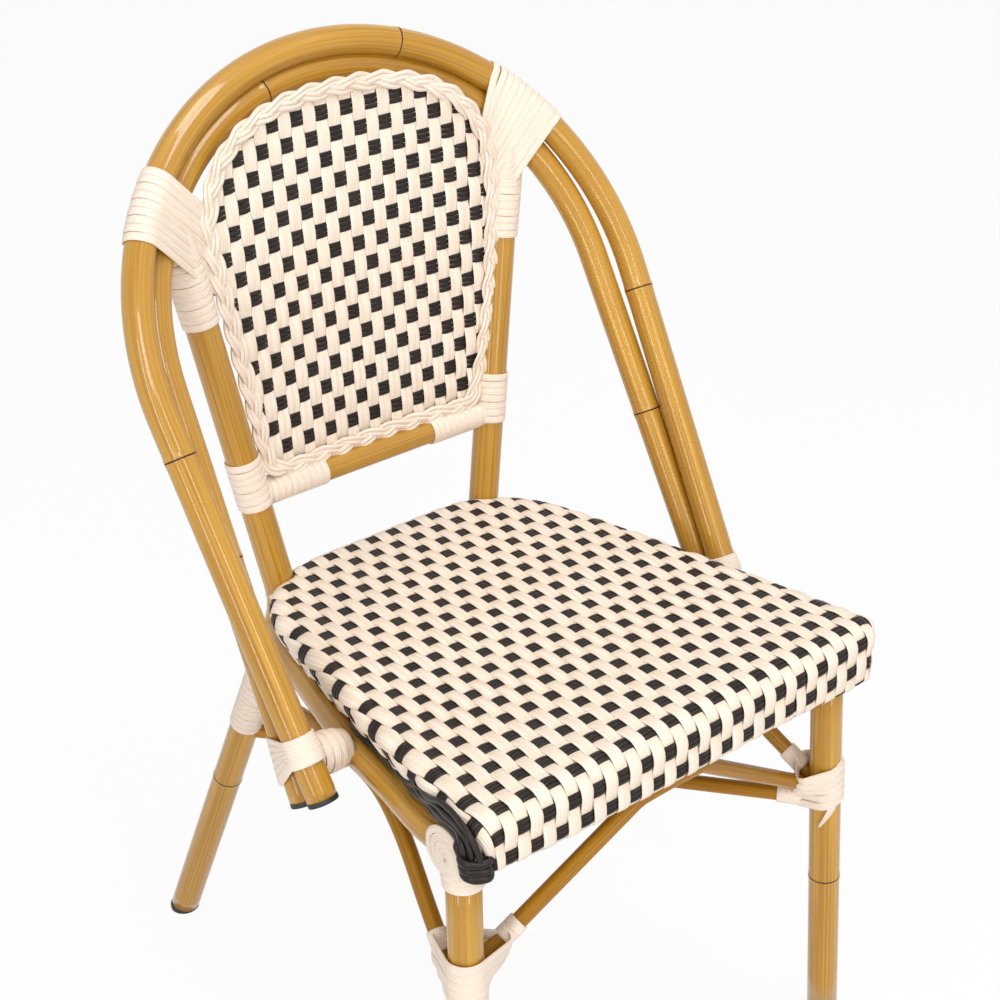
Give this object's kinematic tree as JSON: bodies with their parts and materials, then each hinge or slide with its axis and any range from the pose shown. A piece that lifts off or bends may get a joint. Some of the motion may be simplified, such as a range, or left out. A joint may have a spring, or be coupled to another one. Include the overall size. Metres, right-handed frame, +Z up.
{
  "type": "rattan bistro chair",
  "caption": "Bistro side chair with a bent tube frame, a double hoop back, a woven seat pad and back panel, and strand-lashed joints.",
  "frame": {"origin": "on the floor, under the middle of the chair's width and depth", "axes": "+Z up, the sitter faces -Y, +X runs across the chair"},
  "size_m": [0.5164, 0.5896, 0.8971],
  "materials": {
    "bamboo": "aluminium tube with a glossy golden bamboo-look coating",
    "bamboo_brace": "the same coating on the thin brace tubes",
    "cream_strand": "flat cream polyethylene strand, satin",
    "cream_weave": "cream and black polyethylene strands woven together",
    "black_plastic": "black moulded glide or cap",
    "bare_tube": "plain tube, hidden by the weave"
  },
  "bodies": {
    "root": {"outer_hoop": "bamboo", "inner_hoop": "bamboo", "outer_hoop_cap_left": "black_plastic", "outer_hoop_cap_right": "black_plastic", "inner_hoop_cap_left": "black_plastic", "inner_hoop_cap_right": "black_plastic", "front_leg_left": "bamboo", "front_leg_right": "bamboo", "front_glide_left": "black_plastic", "front_glide_right": "black_plastic", "rear_post_left": "bamboo", "rear_post_right": "bamboo", "rear_glide_left": "black_plastic", "rear_glide_right": "black_plastic", "seat_rail": "bamboo", "rear_rail": "bamboo", "lumbar_rail": "bamboo", "hoop_stub_left": "bamboo", "hoop_stub_right": "bamboo", "front_brace": "bamboo_brace", "side_brace_left": "bamboo_brace", "side_brace_right": "bamboo_brace", "rear_brace": "bamboo_brace", "upper_diagonal": "bamboo_brace", "lower_diagonal": "bamboo_brace", "seat_weave": "cream_weave", "seat_frame": "bare_tube", "back_frame": "bare_tube", "back_weave": "cream_weave", "back_braid": "cream_strand", "hoop_lashing_left": "cream_strand", "hoop_lashing_right": "cream_strand", "post_lashing_left": "cream_strand", "post_lashing_right": "cream_strand", "waist_lashing_left": "cream_strand", "waist_lashing_right": "cream_strand", "lumbar_lashing_left": "cream_strand", "lumbar_lashing_right": "cream_strand", "hoop_foot_lashing_left": "cream_strand", "hoop_foot_lashing_right": "cream_strand", "stub_lashing_left": "cream_strand", "stub_lashing_right": "cream_strand", "rear_leg_lashing_left": "cream_strand", "rear_leg_lashing_right": "cream_strand", "front_leg_lashing_left": "cream_strand", "front_leg_lashing_right": "cream_strand", "front_collar_left": "cream_strand", "front_collar_right": "cream_strand", "corner_rosette_left": "cream_strand", "corner_rosette_right": "cream_strand"}
  },
  "joints": []
}
